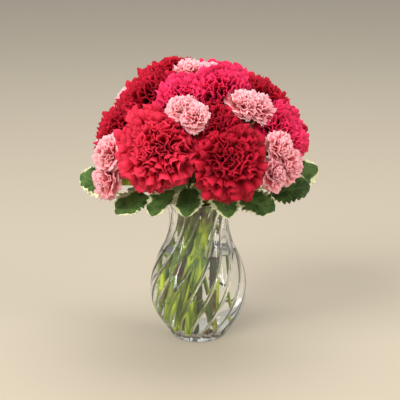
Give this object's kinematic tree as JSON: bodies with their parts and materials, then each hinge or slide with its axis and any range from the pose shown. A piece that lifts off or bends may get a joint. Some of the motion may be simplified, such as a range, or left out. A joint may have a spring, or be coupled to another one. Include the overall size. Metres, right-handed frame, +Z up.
{
  "type": "carnations in a vase",
  "caption": "Domed bouquet of large and small ruffled carnations over a collar of variegated leaves, standing in water in a clear glass bulb vase with swirled flutes.",
  "frame": {"origin": "centre of the vase's foot, on the surface that it stands on", "axes": "+Z up the vase's axis, -Y towards the picture's viewer, +X to the viewer's right"},
  "size_m": [0.236, 0.223, 0.2849],
  "materials": {
    "glass": "polished",
    "water": "polished",
    "stem": "satin",
    "leaf": "satin",
    "petal_red": "matte",
    "petal_rose": "matte",
    "petal_cerise": "matte",
    "petal_pink": "matte"
  },
  "bodies": {
    "root": {"cerise_1_bloom": "petal_cerise", "cerise_1_stem": "stem", "cerise_2_bloom": "petal_cerise", "cerise_2_stem": "stem", "cerise_3_bloom": "petal_cerise", "cerise_3_stem": "stem", "cerise_4_bloom": "petal_cerise", "cerise_4_stem": "stem", "cerise_5_bloom": "petal_cerise", "cerise_5_stem": "stem", "leaf_twig_1": "leaf", "leaf_twig_2": "leaf", "leaf_twig_3": "leaf", "leaf_twig_4": "leaf", "leaf_twig_5": "leaf", "leaf_twig_6": "leaf", "leaf_twig_7": "leaf", "leaf_twig_8": "leaf", "red_1_bloom": "petal_red", "red_1_stem": "stem", "red_2_bloom": "petal_red", "red_2_stem": "stem", "red_3_bloom": "petal_red", "red_3_stem": "stem", "red_4_bloom": "petal_red", "red_4_stem": "stem", "red_5_bloom": "petal_red", "red_5_stem": "stem", "red_6_bloom": "petal_red", "red_6_stem": "stem", "red_7_bloom": "petal_red", "red_7_stem": "stem", "rose_1_bloom": "petal_rose", "rose_1_stem": "stem", "rose_2_bloom": "petal_rose", "rose_2_stem": "stem", "spray_1_bloom_1": "petal_pink", "spray_1_bloom_2": "petal_pink", "spray_1_stems": "stem", "spray_2_bloom_1": "petal_pink", "spray_2_bloom_2": "petal_pink", "spray_2_stems": "stem", "spray_3_bloom_1": "petal_pink", "spray_3_bloom_2": "petal_pink", "spray_3_stems": "stem", "spray_4_bloom_1": "petal_pink", "spray_4_bloom_2": "petal_pink", "spray_4_bloom_3": "petal_pink", "spray_4_stems": "stem", "spray_5_bloom_1": "petal_pink", "spray_5_bloom_2": "petal_pink", "spray_5_stems": "stem", "spray_6_bloom_1": "petal_pink", "spray_6_bloom_2": "petal_pink", "spray_6_stems": "stem", "spray_7_bloom_1": "petal_pink", "spray_7_bloom_2": "petal_pink", "spray_7_stems": "stem", "vase": "glass", "water": "water"}
  },
  "joints": []
}
